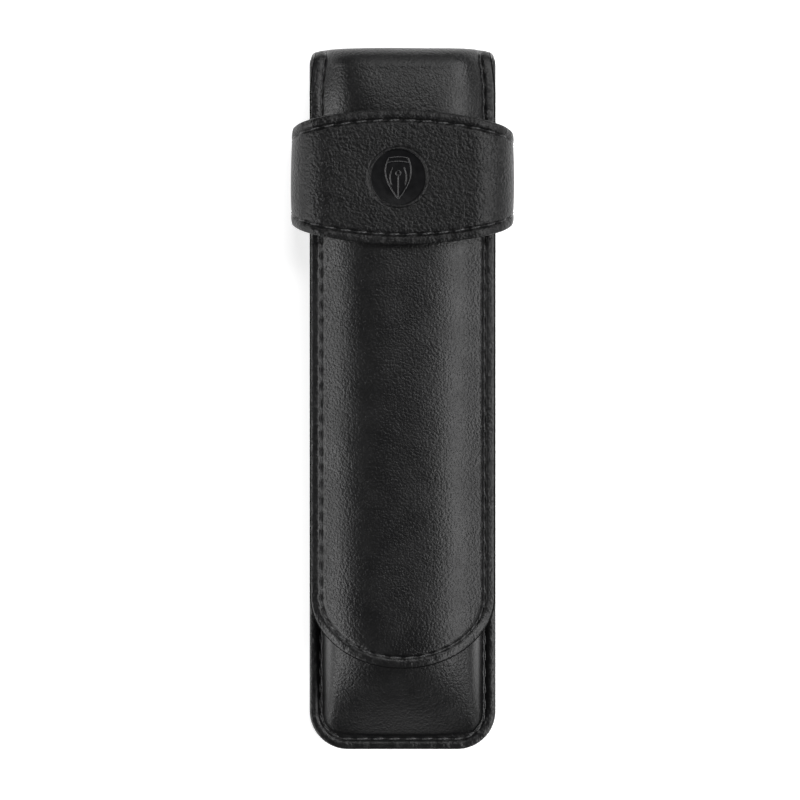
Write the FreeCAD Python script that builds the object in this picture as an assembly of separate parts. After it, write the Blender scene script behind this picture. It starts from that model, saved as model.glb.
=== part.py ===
import FreeCAD, Part
import math
import os

# Leather case for two fountain pens, lying on its back.
#
# A flat back panel and a moulded front panel are sewn together round three sides and make the
# pouch.  The back runs on past the mouth as a flap: it crosses the mouth as a spine, folds over
# the front, passes under a wide leather loop and ends in a rounded tongue.  The flap opens at two
# creases, one at each edge of the spine.
#
# Frame, in millimetres: X across the case, Y along it towards the fold, Z up out of the front.
# The origin is under the middle of the case, on the surface that it lies on.

os.makedirs("parts", exist_ok=True)
V = FreeCAD.Vector

# ---------------------------------------------------------------- driving dimensions
CASE_LENGTH = 160.0
CASE_WIDTH = 42.5
CASE_CORNER = 8.8  # radius of the two bottom corners, seen from the front
SEAM_FLANGE = 3.4  # flat rim of the front panel, sewn to the back
PEN_DIAMETER = 13.2  # the thickest pen that a pocket takes

HIDE = 1.0  # outer leather
LINING = 0.6  # thin lining leather
BOARD = 0.6  # stiffener between the flap's hide and lining; the back has one as thick as its hide
THREAD = 0.3  # height that a line of stitches stands proud
THREAD_WIDTH = 0.5

FLAP_GAP = 0.3  # between the flap and the front panel, and at each crease
FLAP_TIP_Y = -61.4
FLAP_TIP_DEPTH = 16.5  # depth of the half-ellipse that ends the tongue
FLAP_RIM_Z = 13.3  # underside of the flap's flat rim
NECK_END_Y = 32.2  # just below the loop: above it the flap is its neck, below it the tongue

LOOP_Y = 50.3
LOOP_WIDTH = 50.2
LOOP_LENGTH = 30.9  # along the case, at the middle of the strap
LOOP_EDGE_RADIUS = 90.0  # both long edges are arcs of this radius while the strap is flat
LOOP_HEIGHT = 22.0
LOOP_FRONT_CORNER = 9.0
LOOP_BACK_CORNER = 3.8
CHANNEL_GAP = 0.2  # between the strap's edges and the channel pressed for it in the back

FLAP_SEAM_INSET = 2.6
CASE_SEAM_INSET = 2.3
LOOP_SEAM_INSET = 2.2
EMBLEM_X = -1.0
EMBLEM_RADIUS = 6.25
EMBLEM_RIM_RADIUS = 7.0
EMBLEM_RIM = 0.2  # height of the rim pressed up round the emblem
EMBLEM_RECESS = 0.6
EMBLEM_THICKNESS = 0.3

# ---------------------------------------------------------------- derived places
HALF_LENGTH = CASE_LENGTH / 2
HALF_WIDTH = CASE_WIDTH / 2
FLAP_STACK = HIDE + BOARD + LINING
BACK_LINING_Z = 2 * HIDE
FLOOR_Z = BACK_LINING_Z + LINING  # floor of the pen pockets, and foot of the front panel

SPINE_Y = HALF_LENGTH - FLAP_STACK  # inner face of the spine
MOUTH_Y = SPINE_Y - FLAP_GAP
FRONT_MOUTH_Y = MOUTH_Y - 2.5

# The front panel is a box with rounded shoulders.  Every layer above it is the same shape with a
# larger shoulder radius about the same centre line, so the layers nest exactly.
SHOULDER = 11.0
SHOULDER_X = HALF_WIDTH - SEAM_FLANGE - SHOULDER
SHOULDER_Z = FLOOR_Z + PEN_DIAMETER + LINING + HIDE - SHOULDER
SHOULDER_Y = -HALF_LENGTH + SEAM_FLANGE + SHOULDER
LINING_OUT = SHOULDER - HIDE
LINING_IN = LINING_OUT - LINING
FLAP_IN = SHOULDER + FLAP_GAP
FLAP_BOARD_IN = FLAP_IN + LINING
FLAP_HIDE_IN = FLAP_BOARD_IN + BOARD
FLAP_OUT = FLAP_HIDE_IN + HIDE

FLAP_HALF_WIDTH = HALF_WIDTH
RIM_HIDE_Z = FLAP_RIM_Z + LINING
RIM_TOP_Z = RIM_HIDE_Z + HIDE
FLAP_MIDDLE_Z = SHOULDER_Z + FLAP_IN + FLAP_STACK / 2

REAR_CREASE = (SPINE_Y + FLAP_STACK / 2, FLAP_STACK / 2)  # y, z
FRONT_CREASE = (SPINE_Y + FLAP_STACK / 2, FLAP_MIDDLE_Z)
TONGUE_TOP_Y = NECK_END_Y - FLAP_GAP

LOOP_FLAT = LOOP_WIDTH / 2 - LOOP_FRONT_CORNER  # half-width of the strap's flat front
LOOP_KNEE_Z = LOOP_HEIGHT - LOOP_FRONT_CORNER  # the strap's sides are upright below this

BIG = 200.0  # longer than anything here, for cutting tools


# ---------------------------------------------------------------- building blocks
def line(a, b):
    return Part.LineSegment(V(*a), V(*b)).toShape()


def arc(a, through, b):
    return Part.Arc(V(*a), V(*through), V(*b)).toShape()


def slab(x0, x1, y0, y1, z0, z1):
    return Part.makeBox(x1 - x0, y1 - y0, z1 - z0, V(x0, y0, z0))


def on_circle(cx, cy, radius, degrees):
    a = math.radians(degrees)
    return cx + radius * math.cos(a), cy + radius * math.sin(a)


def rounded_section(half_width, z0, z1, low_corner, high_corner):
    """Closed outline in the XZ plane: a rectangle with one radius at the foot and one at the top."""
    edges = []
    corners = [
        (half_width - low_corner, z0 + low_corner, low_corner, 270),
        (half_width - high_corner, z1 - high_corner, high_corner, 0),
        (-half_width + high_corner, z1 - high_corner, high_corner, 90),
        (-half_width + low_corner, z0 + low_corner, low_corner, 180),
    ]
    last = None
    for cx, cz, radius, start in corners:
        a, m, b = (on_circle(cx, cz, radius, start + k) for k in (0, 45, 90))
        if last:
            edges.append(line((last[0], 0, last[1]), (a[0], 0, a[1])))
        else:
            first = a
        if radius > 0:
            edges.append(arc((a[0], 0, a[1]), (m[0], 0, m[1]), (b[0], 0, b[1])))
        last = b
    edges.append(line((last[0], 0, last[1]), (first[0], 0, first[1])))
    return Part.Wire(edges)


def along_y(wire, y0, y1):
    moved = wire.copy()
    moved.translate(V(0, y0, 0))
    return Part.Face(moved).extrude(V(0, y1 - y0, 0))


def along_z(wire, z0, z1):
    moved = wire.copy()
    moved.translate(V(0, 0, z0))
    return Part.Face(moved).extrude(V(0, 0, z1 - z0))


def ridge(radius, y0, y1, foot=0.0):
    """The shouldered section of one shoulder radius, run along the case, down to z = foot."""
    half = SHOULDER_X + radius
    top = SHOULDER_Z + radius
    right = [on_circle(SHOULDER_X, SHOULDER_Z, radius, k) for k in (0, 45, 90)]
    wire = Part.Wire(
        [
            line((-half, 0, foot), (half, 0, foot)),
            line((half, 0, foot), (half, 0, SHOULDER_Z)),
            arc(*[(x, 0, z) for x, z in right]),
            line((SHOULDER_X, 0, top), (-SHOULDER_X, 0, top)),
            arc(*[(-x, 0, z) for x, z in reversed(right)]),
            line((-half, 0, SHOULDER_Z), (-half, 0, foot)),
        ]
    )
    return along_y(wire, y0, y1)


def case_outline(inset, y_top):
    """Plan of the case: straight sides, two rounded bottom corners, square at the mouth."""
    half = HALF_WIDTH - inset
    low = -HALF_LENGTH + inset
    r = CASE_CORNER - inset
    left = [on_circle(-half + r, low + r, r, k) for k in (180, 225, 270)]
    right = [on_circle(half - r, low + r, r, k) for k in (270, 315, 0)]
    return Part.Wire(
        [
            line((-half, y_top, 0), (*left[0], 0)),
            arc(*[(*p, 0) for p in left]),
            line((*left[2], 0), (*right[0], 0)),
            arc(*[(*p, 0) for p in right]),
            line((*right[2], 0), (half, y_top, 0)),
            line((half, y_top, 0), (-half, y_top, 0)),
        ]
    )


def dome(radius, y_top):
    """One moulded layer of the front panel, solid: shouldered along both sides and at the bottom."""
    low = SHOULDER_Y - radius
    top = SHOULDER_Z + radius
    end = [on_circle(SHOULDER_Y, SHOULDER_Z, radius, k) for k in (180, 135, 90)]
    side = Part.Wire(
        [
            line((0, low, FLOOR_Z), (0, low, SHOULDER_Z)),
            arc(*[(0, *p) for p in end]),
            line((0, SHOULDER_Y, top), (0, y_top, top)),
            line((0, y_top, top), (0, y_top, FLOOR_Z)),
            line((0, y_top, FLOOR_Z), (0, low, FLOOR_Z)),
        ]
    )
    side.translate(V(-BIG / 2, 0, 0))
    profile = Part.Face(side).extrude(V(BIG, 0, 0))
    plan = along_z(case_outline(SEAM_FLANGE + SHOULDER - radius, y_top), 0, BIG)
    return ridge(radius, low, y_top).common(profile).common(plan)


def flap_outline(inset, y_top):
    """Plan of the flap: straight sides and a half-ellipse tip."""
    half = FLAP_HALF_WIDTH - inset
    depth = FLAP_TIP_DEPTH - inset
    base = FLAP_TIP_Y + FLAP_TIP_DEPTH
    major, minor = (half, depth) if half > depth else (depth, half)
    tip = Part.Ellipse(V(0, base, 0), major, minor)
    half_tip = Part.Edge(tip, math.pi, 2 * math.pi)
    return Part.Wire(
        [
            half_tip,
            line((half, base, 0), (half, y_top, 0)),
            line((half, y_top, 0), (-half, y_top, 0)),
            line((-half, y_top, 0), (-half, base, 0)),
        ]
    )


def flap_layer(inner, outer, rim_low, rim_high):
    """One layer of the flap: a skin over the shoulders with a flat rim on both sides."""
    low, high = FLAP_TIP_Y - 1, MOUTH_Y
    rim = slab(-FLAP_HALF_WIDTH, FLAP_HALF_WIDTH, low, high, rim_low, rim_high)
    skin = ridge(outer, low, high).fuse(rim).cut(ridge(inner, low, high))
    above = slab(-BIG, BIG, low, high, rim_low, BIG)
    return skin.common(above)


def loop_section(inset):
    return rounded_section(
        LOOP_WIDTH / 2 - inset,
        inset,
        LOOP_HEIGHT - inset,
        LOOP_BACK_CORNER - inset,
        LOOP_FRONT_CORNER - inset,
    )


def strap_half_length(s):
    """Half the strap's length along the case, at the distance s from its middle line."""
    return LOOP_LENGTH / 2 - s**2 / (2 * LOOP_EDGE_RADIUS)


def strap_blank(inset):
    """Room between the strap's two long edges: curved across its front, straight down its sides."""
    half = LOOP_WIDTH / 2 + 1
    seen_from_front = [(x, strap_half_length(x) - inset) for x in (-half, 0, half)]
    turn = [0, math.pi / 4, math.pi / 2]
    shoulder = [
        (
            strap_half_length(LOOP_FLAT + LOOP_FRONT_CORNER * k) - inset,
            LOOP_KNEE_Z + LOOP_FRONT_CORNER * math.cos(k),
        )
        for k in turn
    ]
    (wide, top), middle, (narrow, knee) = shoulder
    front = Part.Wire(
        [
            arc(*[(x, y, 0) for x, y in seen_from_front]),
            line((half, seen_from_front[2][1], 0), (half, -seen_from_front[2][1], 0)),
            arc(*[(x, -y, 0) for x, y in reversed(seen_from_front)]),
            line((-half, -seen_from_front[0][1], 0), (-half, seen_from_front[0][1], 0)),
        ]
    )
    side = Part.Wire(
        [
            line((0, -narrow, -1), (0, narrow, -1)),
            line((0, narrow, -1), (0, narrow, knee)),
            arc((0, narrow, knee), (0, *middle), (0, wide, top)),
            line((0, wide, top), (0, LOOP_LENGTH, top)),
            line((0, LOOP_LENGTH, top), (0, LOOP_LENGTH, top + 1)),
            line((0, LOOP_LENGTH, top + 1), (0, -LOOP_LENGTH, top + 1)),
            line((0, -LOOP_LENGTH, top + 1), (0, -LOOP_LENGTH, top)),
            line((0, -LOOP_LENGTH, top), (0, -wide, top)),
            arc((0, -wide, top), (0, -middle[0], middle[1]), (0, -narrow, knee)),
            line((0, -narrow, knee), (0, -narrow, -1)),
        ]
    )
    side.translate(V(-half, 0, 0))
    blank = along_z(front, -1, top + 1).common(Part.Face(side).extrude(V(2 * half, 0, 0)))
    blank.translate(V(0, LOOP_Y, 0))
    return blank


def ring(outer, inner):
    """Material of the loop between two insets, along the whole strap."""
    low, high = LOOP_Y - LOOP_LENGTH, LOOP_Y + LOOP_LENGTH
    return along_y(loop_section(outer), low, high).cut(along_y(loop_section(inner), low, high))


def save(name, shape):
    solids = shape.Solids
    good = bool(solids) and all(s.isValid() and s.Volume > 0 for s in solids)
    print(f"{name:24s} solids {len(solids):3d}  volume {shape.Volume:9.2f}  ok {good}")
    assert good, name
    out = solids[0] if len(solids) == 1 else Part.makeCompound(solids)
    out.exportStep(f"parts/{name}.step")


# ---------------------------------------------------------------- pouch: back
def back_parts():
    """Back hide with its edges turned in, two boards either side of the loop's channel, lining."""
    turned_edge = 3.4
    channel = strap_half_length(LOOP_FLAT + LOOP_FRONT_CORNER * math.pi / 2) + CHANNEL_GAP
    low, high = LOOP_Y - channel, LOOP_Y + channel
    plate = along_z(case_outline(0, MOUTH_Y), 0, BACK_LINING_Z)
    well = along_z(case_outline(turned_edge, MOUTH_Y), HIDE, BACK_LINING_Z)
    well = well.cut(slab(-BIG, BIG, low - HIDE, high + HIDE, 0, BIG))
    save("back_panel", plate.cut(well).cut(slab(-BIG, BIG, low, high, -1, HIDE)))
    save("back_boards", well)
    save("back_lining", along_z(case_outline(0, MOUTH_Y), BACK_LINING_Z, FLOOR_Z))


# ---------------------------------------------------------------- pouch: front
def front_parts():
    """Moulded front hide with its sewn flange, the lining in it, and the facing at the mouth."""
    flange = along_z(case_outline(0, FRONT_MOUTH_Y), FLOOR_Z, FLOOR_Z + HIDE)
    hollow = dome(LINING_OUT, FRONT_MOUTH_Y)
    save("front_panel", flange.fuse(dome(SHOULDER, FRONT_MOUTH_Y)).cut(hollow).removeSplitter())
    save("front_lining", hollow.cut(dome(LINING_IN, FRONT_MOUTH_Y)))

    facing = 0.5
    facing_length = 5.0
    low, high = FRONT_MOUTH_Y - facing_length, FRONT_MOUTH_Y + facing
    inner = LINING_IN - facing
    strip = ridge(LINING_IN, low, FRONT_MOUTH_Y, FLOOR_Z).fuse(
        ridge(SHOULDER, FRONT_MOUTH_Y, high, FLOOR_Z)
    )
    save("mouth_facing", strip.cut(ridge(inner, low - 1, high + 1, FLOOR_Z)))


# ---------------------------------------------------------------- pouch: pen divider
def divider_parts():
    """Upright leather leaf between the two pens, on a foot that is sewn to the back lining."""
    leaf = 1.0
    foot_half_width, foot_height = 3.6, 0.5
    low, high = -66.0, 66.0
    leaf_top = SHOULDER_Z + LINING_IN - 0.9
    upright = slab(-leaf / 2, leaf / 2, low, high, FLOOR_Z, leaf_top)
    foot = slab(-foot_half_width, foot_half_width, low, high, FLOOR_Z, FLOOR_Z + foot_height)
    save("pen_divider", upright.fuse(foot))
    seams = []
    for side in (-1, 1):
        x = side * (foot_half_width - 1.2)
        z = FLOOR_Z + foot_height
        seams.append(
            slab(x - THREAD_WIDTH / 2, x + THREAD_WIDTH / 2, low + 2, high - 2, z, z + THREAD)
        )
    save("divider_thread", Part.makeCompound(seams))


# ---------------------------------------------------------------- pouch: its seam
def case_seam():
    """One line of thread down one side, across the bottom and up the other, on the flange."""
    y_top = FRONT_MOUTH_Y - 1.0
    z = FLOOR_Z + HIDE
    outside = along_z(case_outline(CASE_SEAM_INSET, y_top), z, z + THREAD)
    inside = along_z(case_outline(CASE_SEAM_INSET + THREAD_WIDTH, y_top + 1), z - 1, z + 1)
    save("case_seam_thread", outside.cut(inside))


# ---------------------------------------------------------------- loop
def emblem_disc(radius, z0, z1):
    return Part.makeCylinder(radius, z1 - z0, V(EMBLEM_X, LOOP_Y, z0))


def emblem():
    """Pressed disc with a raised nib: a kite with a slit from its point to a round hole."""
    z0 = LOOP_HEIGHT - EMBLEM_RECESS
    z1 = z0 + EMBLEM_THICKNESS
    relief = z1 + 0.15
    kite = [(0, -4.6, 0), (2.2, 0.8, 0), (1.3, 3.9, 0), (-1.3, 3.9, 0), (-2.2, 0.8, 0)]
    nib = along_z(Part.makePolygon([V(*p) for p in kite + kite[:1]]), z1, relief)
    nib = nib.cut(slab(-0.15, 0.15, -5, 0.6, z1, BIG))
    nib = nib.cut(Part.makeCylinder(0.6, 1, V(0, 0.6, z1)))
    nib.translate(V(EMBLEM_X, LOOP_Y, 0))
    return emblem_disc(EMBLEM_RADIUS - 0.1, z0, z1).fuse(nib)


def loop_parts():
    """Strap sewn into a ring round the pouch, its lining, its seams and the round emblem."""
    blank = strap_blank(0)
    recess = emblem_disc(EMBLEM_RADIUS, LOOP_HEIGHT - EMBLEM_RECESS, LOOP_HEIGHT + 1)
    rim = emblem_disc(EMBLEM_RIM_RADIUS, LOOP_HEIGHT, LOOP_HEIGHT + EMBLEM_RIM)

    # A rectangle of stitches holds the strap in its channel; they lie sunk in its underside.
    half_x, half_y = 8.0, 7.4
    back_seam = slab(-half_x, half_x, LOOP_Y - half_y, LOOP_Y + half_y, 0, THREAD)
    half_x, half_y = half_x - THREAD_WIDTH, half_y - THREAD_WIDTH
    back_seam = back_seam.cut(slab(-half_x, half_x, LOOP_Y - half_y, LOOP_Y + half_y, -1, HIDE))
    save("loop_back_thread", back_seam)

    strap = ring(0, HIDE).common(blank)
    save("loop_strap", strap.fuse(rim).cut(recess).cut(back_seam))
    save("loop_emblem", emblem())
    above_back = slab(-BIG, BIG, -BIG, BIG, LOOP_BACK_CORNER, BIG)
    save("loop_lining", ring(HIDE, HIDE + LINING).common(blank).common(above_back))

    ribbon = strap_blank(LOOP_SEAM_INSET).cut(strap_blank(LOOP_SEAM_INSET + THREAD_WIDTH))
    threads = ring(-THREAD, 0).common(ribbon).common(above_back)
    upper = [s for s in threads.Solids if s.CenterOfMass.y > LOOP_Y]
    lower = [s for s in threads.Solids if s.CenterOfMass.y < LOOP_Y]
    save("loop_upper_thread", Part.makeCompound(upper))
    save("loop_lower_thread", Part.makeCompound(lower))


# ---------------------------------------------------------------- flap
def spine_parts():
    """The stretch of flap that crosses the mouth, with a round crease at its rear and front edge."""
    wide = slab(-FLAP_HALF_WIDTH, FLAP_HALF_WIDTH, SPINE_Y, HALF_LENGTH, 0, RIM_TOP_Z)
    body = ridge(FLAP_OUT, SPINE_Y, HALF_LENGTH).fuse(wide)
    half = FLAP_STACK / 2
    for (y, z), z0, z1 in (
        (REAR_CREASE, -1, REAR_CREASE[1]),
        (FRONT_CREASE, FRONT_CREASE[1], FRONT_CREASE[1] + 3),
    ):
        edge = slab(-BIG, BIG, SPINE_Y - 1, HALF_LENGTH + 1, z0, z1)
        bead = Part.makeCylinder(half, 2 * BIG, V(-BIG, y, z), V(1, 0, 0))
        body = body.cut(edge.cut(bead))
    layers = (
        ("spine_lining", SPINE_Y, SPINE_Y + LINING),
        ("spine_board", SPINE_Y + LINING, SPINE_Y + LINING + BOARD),
        ("spine_leather", SPINE_Y + LINING + BOARD, HALF_LENGTH),
    )
    for name, y0, y1 in layers:
        save(name, body.common(slab(-BIG, BIG, y0, y1, -1, BIG)))


def flap_parts():
    """Neck and tongue: hide, board and lining, each cut in two below the loop, and their seam."""
    outline = along_z(flap_outline(0, MOUTH_Y), 0, BIG)
    board_outline = along_z(flap_outline(SEAM_FLANGE, MOUTH_Y), 0, BIG)
    hide = flap_layer(FLAP_HIDE_IN, FLAP_OUT, RIM_HIDE_Z, RIM_TOP_Z).common(outline)
    lining = flap_layer(FLAP_IN, FLAP_BOARD_IN, FLAP_RIM_Z, RIM_HIDE_Z).common(outline)
    low, high = FLAP_TIP_Y, MOUTH_Y
    board = ridge(FLAP_HIDE_IN, low, high).cut(ridge(FLAP_BOARD_IN, low, high))
    board = board.common(slab(-BIG, BIG, low, high, RIM_HIDE_Z, BIG)).common(board_outline)

    over = flap_layer(FLAP_OUT, FLAP_OUT + THREAD, RIM_TOP_Z, RIM_TOP_Z + THREAD)
    seam_top = MOUTH_Y - 1.5
    ribbon = along_z(flap_outline(FLAP_SEAM_INSET, seam_top), 0, BIG).cut(
        along_z(flap_outline(FLAP_SEAM_INSET + THREAD_WIDTH, seam_top + 1), 0, BIG)
    )
    thread = over.common(ribbon)

    neck = slab(-BIG, BIG, NECK_END_Y, BIG, -1, BIG)
    tongue = slab(-BIG, BIG, -BIG, TONGUE_TOP_Y, -1, BIG)
    layers = (("leather", hide), ("board", board), ("lining", lining), ("thread", thread))
    for name, layer in layers:
        save(f"neck_{name}", layer.common(neck))
        save(f"tongue_{name}", layer.common(tongue))


back_parts()
front_parts()
divider_parts()
case_seam()
loop_parts()
spine_parts()
flap_parts()
print("rear crease y z", REAR_CREASE, "front crease y z", FRONT_CREASE)
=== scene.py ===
import math

import bmesh
import bpy
import numpy as np
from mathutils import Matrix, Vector


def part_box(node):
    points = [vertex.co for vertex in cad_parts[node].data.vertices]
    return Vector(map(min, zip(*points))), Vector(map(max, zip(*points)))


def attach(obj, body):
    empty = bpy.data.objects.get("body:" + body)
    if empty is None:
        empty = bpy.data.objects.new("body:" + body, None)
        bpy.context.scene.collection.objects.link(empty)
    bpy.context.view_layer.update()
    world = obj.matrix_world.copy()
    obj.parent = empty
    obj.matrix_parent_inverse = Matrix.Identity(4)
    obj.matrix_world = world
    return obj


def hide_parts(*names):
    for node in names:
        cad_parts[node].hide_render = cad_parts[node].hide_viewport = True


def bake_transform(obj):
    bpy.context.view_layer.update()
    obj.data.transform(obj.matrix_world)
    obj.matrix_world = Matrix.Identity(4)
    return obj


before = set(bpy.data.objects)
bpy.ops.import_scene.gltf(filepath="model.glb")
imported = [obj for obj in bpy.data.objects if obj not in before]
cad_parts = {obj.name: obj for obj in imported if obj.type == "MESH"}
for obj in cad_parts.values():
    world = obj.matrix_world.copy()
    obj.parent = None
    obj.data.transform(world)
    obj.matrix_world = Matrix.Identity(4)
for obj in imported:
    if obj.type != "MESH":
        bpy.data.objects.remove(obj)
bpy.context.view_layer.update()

MM = 0.001

# ------------------------------------------------------------------ table, lights and camera
# The case lies on its back on a pale table top and is seen from straight above.  Two long
# softboxes stand low on either side and two small ones beyond the fold; nothing hangs over it, so
# level leather stays dark.
table_half = 2.0
table_z = -0.00003
table_mesh = bpy.data.meshes.new("table_top")
table_mesh.from_pydata(
    [(-table_half, -table_half, table_z), (table_half, -table_half, table_z),
     (table_half, table_half, table_z), (-table_half, table_half, table_z)],
    [], [(0, 1, 2, 3)],
)
table_top = bpy.data.objects.new("table_top", table_mesh)
bpy.context.scene.collection.objects.link(table_top)

table_paper = bpy.data.materials.new("table_paper")
table_paper.use_nodes = True
paper = table_paper.node_tree
paper_shader = paper.nodes["Principled BSDF"]
paper_shader.inputs["Roughness"].default_value = 0.9
paper_shader.inputs["Specular IOR Level"].default_value = 0.1
paper_shader.inputs["Emission Color"].default_value = (1, 1, 1, 1)
paper_shader.inputs["Emission Strength"].default_value = 0.42
paper_fibre = paper.nodes.new("ShaderNodeTexNoise")
paper_fibre.inputs["Scale"].default_value = 40.0
paper_tone = paper.nodes.new("ShaderNodeValToRGB")
paper_tone.color_ramp.elements[0].color = (0.92, 0.92, 0.92, 1)
paper_tone.color_ramp.elements[1].color = (0.95, 0.95, 0.95, 1)
paper.links.new(paper_fibre.outputs["Fac"], paper_tone.inputs["Fac"])
paper.links.new(paper_tone.outputs["Color"], paper_shader.inputs["Base Color"])
table_mesh.materials.append(table_paper)


def softbox(name, place, aim, length, height, watts):
    """Rectangular lamp with its long side level, turned to face the point that it is aimed at."""
    lamp = bpy.data.lights.new(name, "AREA")
    lamp.shape = "RECTANGLE"
    lamp.size = length
    lamp.size_y = height
    lamp.energy = watts
    stand = bpy.data.objects.new(name, lamp)
    bpy.context.scene.collection.objects.link(stand)
    stand.location = place
    stand.rotation_euler = (Vector(aim) - Vector(place)).to_track_quat("-Z", "Y").to_euler()


softbox("left_softbox", (-0.84, -0.35, 0.42), (0, -0.35, 0), 1.2, 0.3, 10.9)
softbox("right_softbox", (0.68, -0.15, 0.74), (0, -0.15, 0), 1.7, 0.46, 17.0)
softbox("end_softbox", (0.08, 0.5, 0.98), (0, 0, 0), 0.4, 0.25, 2.9)
softbox("fold_softbox", (0.1, 0.85, 0.62), (0, 0.05, 0), 0.7, 0.45, 2.0)

surroundings = bpy.data.worlds.new("surroundings")
surroundings.use_nodes = True
surroundings.node_tree.nodes["Background"].inputs["Color"].default_value = (0.95, 0.97, 1, 1)
surroundings.node_tree.nodes["Background"].inputs["Strength"].default_value = 0.06
bpy.context.scene.world = surroundings
bpy.context.scene.view_settings.view_transform = "Standard"

view_width = 182.9 * MM
view_distance = 2.4
lens = bpy.data.cameras.new("camera")
lens.sensor_width = 36.0
lens.lens = lens.sensor_width * view_distance / view_width
lens.clip_end = 20.0
camera = bpy.data.objects.new("camera", lens)
camera.location = (-0.6 * MM, -0.2 * MM, view_distance)
bpy.context.scene.collection.objects.link(camera)
bpy.context.scene.camera = camera


# ------------------------------------------------------------------ front panel
# The front is one piece of black nappa, moulded wet over a former so that it stands up round two
# pens.  Its edge stays flat and is sewn to the back along both sides and the bottom, close up
# against the moulding, so the edge rolls outside the stitches.
front_low, front_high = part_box("front_panel")
half_width = front_high.x
bottom = front_low.y
stitch_pitch = 3.7 * MM
step = stitch_pitch / 8


def leather(name, tone, grain, relief, rough):
    """Black nappa: pebbles divided by fine creases, pores, and broad soft unevenness."""
    made = bpy.data.materials.new(name)
    made.use_nodes = True
    tree = made.node_tree
    add, link = tree.nodes.new, tree.links.new
    shader = tree.nodes["Principled BSDF"]
    shader.inputs["IOR"].default_value = 1.46
    shader.inputs["Specular IOR Level"].default_value = 0.35
    place = add("ShaderNodeTexCoord")

    warp = add("ShaderNodeTexNoise")
    warp.inputs["Scale"].default_value = 0.8 / grain
    warp.inputs["Detail"].default_value = 2.0
    link(place.outputs["Object"], warp.inputs["Vector"])
    shift = add("ShaderNodeVectorMath")
    shift.operation = "MULTIPLY_ADD"
    shift.inputs[1].default_value = (grain * 0.7, grain * 1.1, grain * 0.7)
    link(warp.outputs["Color"], shift.inputs[0])
    link(place.outputs["Object"], shift.inputs[2])

    pebble = add("ShaderNodeTexVoronoi")
    pebble.feature = "SMOOTH_F1"
    pebble.inputs["Smoothness"].default_value = 0.35
    pebble.inputs["Scale"].default_value = 1.0 / grain
    link(shift.outputs["Vector"], pebble.inputs["Vector"])
    crease = add("ShaderNodeTexVoronoi")
    crease.feature = "DISTANCE_TO_EDGE"
    crease.inputs["Scale"].default_value = 0.8 / grain
    link(shift.outputs["Vector"], crease.inputs["Vector"])
    crease_depth = add("ShaderNodeMapRange")
    crease_depth.inputs["From Max"].default_value = 0.16
    crease_depth.inputs["To Min"].default_value = 0.0
    crease_depth.inputs["To Max"].default_value = 1.0
    link(crease.outputs["Distance"], crease_depth.inputs["Value"])
    pore = add("ShaderNodeTexNoise")
    pore.inputs["Scale"].default_value = 1.7 / grain
    pore.inputs["Detail"].default_value = 3.0
    link(place.outputs["Object"], pore.inputs["Vector"])
    broad = add("ShaderNodeTexNoise")
    broad.inputs["Scale"].default_value = 150.0
    broad.inputs["Detail"].default_value = 3.0
    link(place.outputs["Object"], broad.inputs["Vector"])

    rounded = add("ShaderNodeMath")
    rounded.operation = "MULTIPLY"
    rounded.inputs[1].default_value = -1.0
    link(pebble.outputs["Distance"], rounded.inputs[0])
    with_crease = add("ShaderNodeMath")
    with_crease.operation = "MULTIPLY_ADD"
    with_crease.inputs[1].default_value = 0.18
    link(crease_depth.outputs["Result"], with_crease.inputs[0])
    link(rounded.outputs["Value"], with_crease.inputs[2])
    with_pores = add("ShaderNodeMath")
    with_pores.operation = "MULTIPLY_ADD"
    with_pores.inputs[1].default_value = 0.5
    link(pore.outputs["Fac"], with_pores.inputs[0])
    link(with_crease.outputs["Value"], with_pores.inputs[2])

    swell = add("ShaderNodeBump")
    swell.inputs["Distance"].default_value = 0.35 * MM
    swell.inputs["Strength"].default_value = 0.12
    link(broad.outputs["Fac"], swell.inputs["Height"])
    bump = add("ShaderNodeBump")
    bump.inputs["Distance"].default_value = relief
    bump.inputs["Strength"].default_value = 1.0
    link(with_pores.outputs["Value"], bump.inputs["Height"])
    link(swell.outputs["Normal"], bump.inputs["Normal"])
    link(bump.outputs["Normal"], shader.inputs["Normal"])

    gloss = add("ShaderNodeMapRange")
    gloss.inputs["From Min"].default_value = 0.2
    gloss.inputs["From Max"].default_value = 0.8
    gloss.inputs["To Min"].default_value = rough - 0.07
    gloss.inputs["To Max"].default_value = rough + 0.07
    link(broad.outputs["Fac"], gloss.inputs["Value"])
    link(gloss.outputs["Result"], shader.inputs["Roughness"])
    dye = add("ShaderNodeMapRange")
    dye.data_type = "FLOAT_VECTOR"
    dye.inputs[9].default_value = tuple(t * 0.75 for t in tone)
    dye.inputs[10].default_value = tuple(t * 1.3 for t in tone)
    link(with_pores.outputs["Value"], dye.inputs[6])
    link(dye.outputs["Vector"], shader.inputs["Base Color"])
    return made


case_leather = leather("case_leather", (0.003, 0.003, 0.0032), 0.55 * MM, 0.07 * MM, 0.36)


def walk(path, step):
    """Even steps along a line in plan: the points, the way inward from each, the way left to its end."""
    path = np.asarray(path, float)
    along = np.concatenate([[0], np.cumsum(np.hypot(*np.diff(path, axis=0).T))])
    s = np.linspace(0, along[-1], round(along[-1] / step) + 1)
    at = np.column_stack([np.interp(s, along, path[:, k]) for k in (0, 1)])
    way = np.gradient(at, axis=0)
    way /= np.linalg.norm(way, axis=1)[:, None]
    return at, np.column_stack([-way[:, 1], way[:, 0]]), along[-1] - s


def quarter_turn(cx, cy, rx, ry, start):
    """Points of a quarter of an ellipse, anticlockwise from a start angle in degrees."""
    turn = np.radians(np.linspace(start, start + 90, 60))
    return np.column_stack([cx + rx * np.cos(turn), cy + ry * np.sin(turn)])


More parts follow.
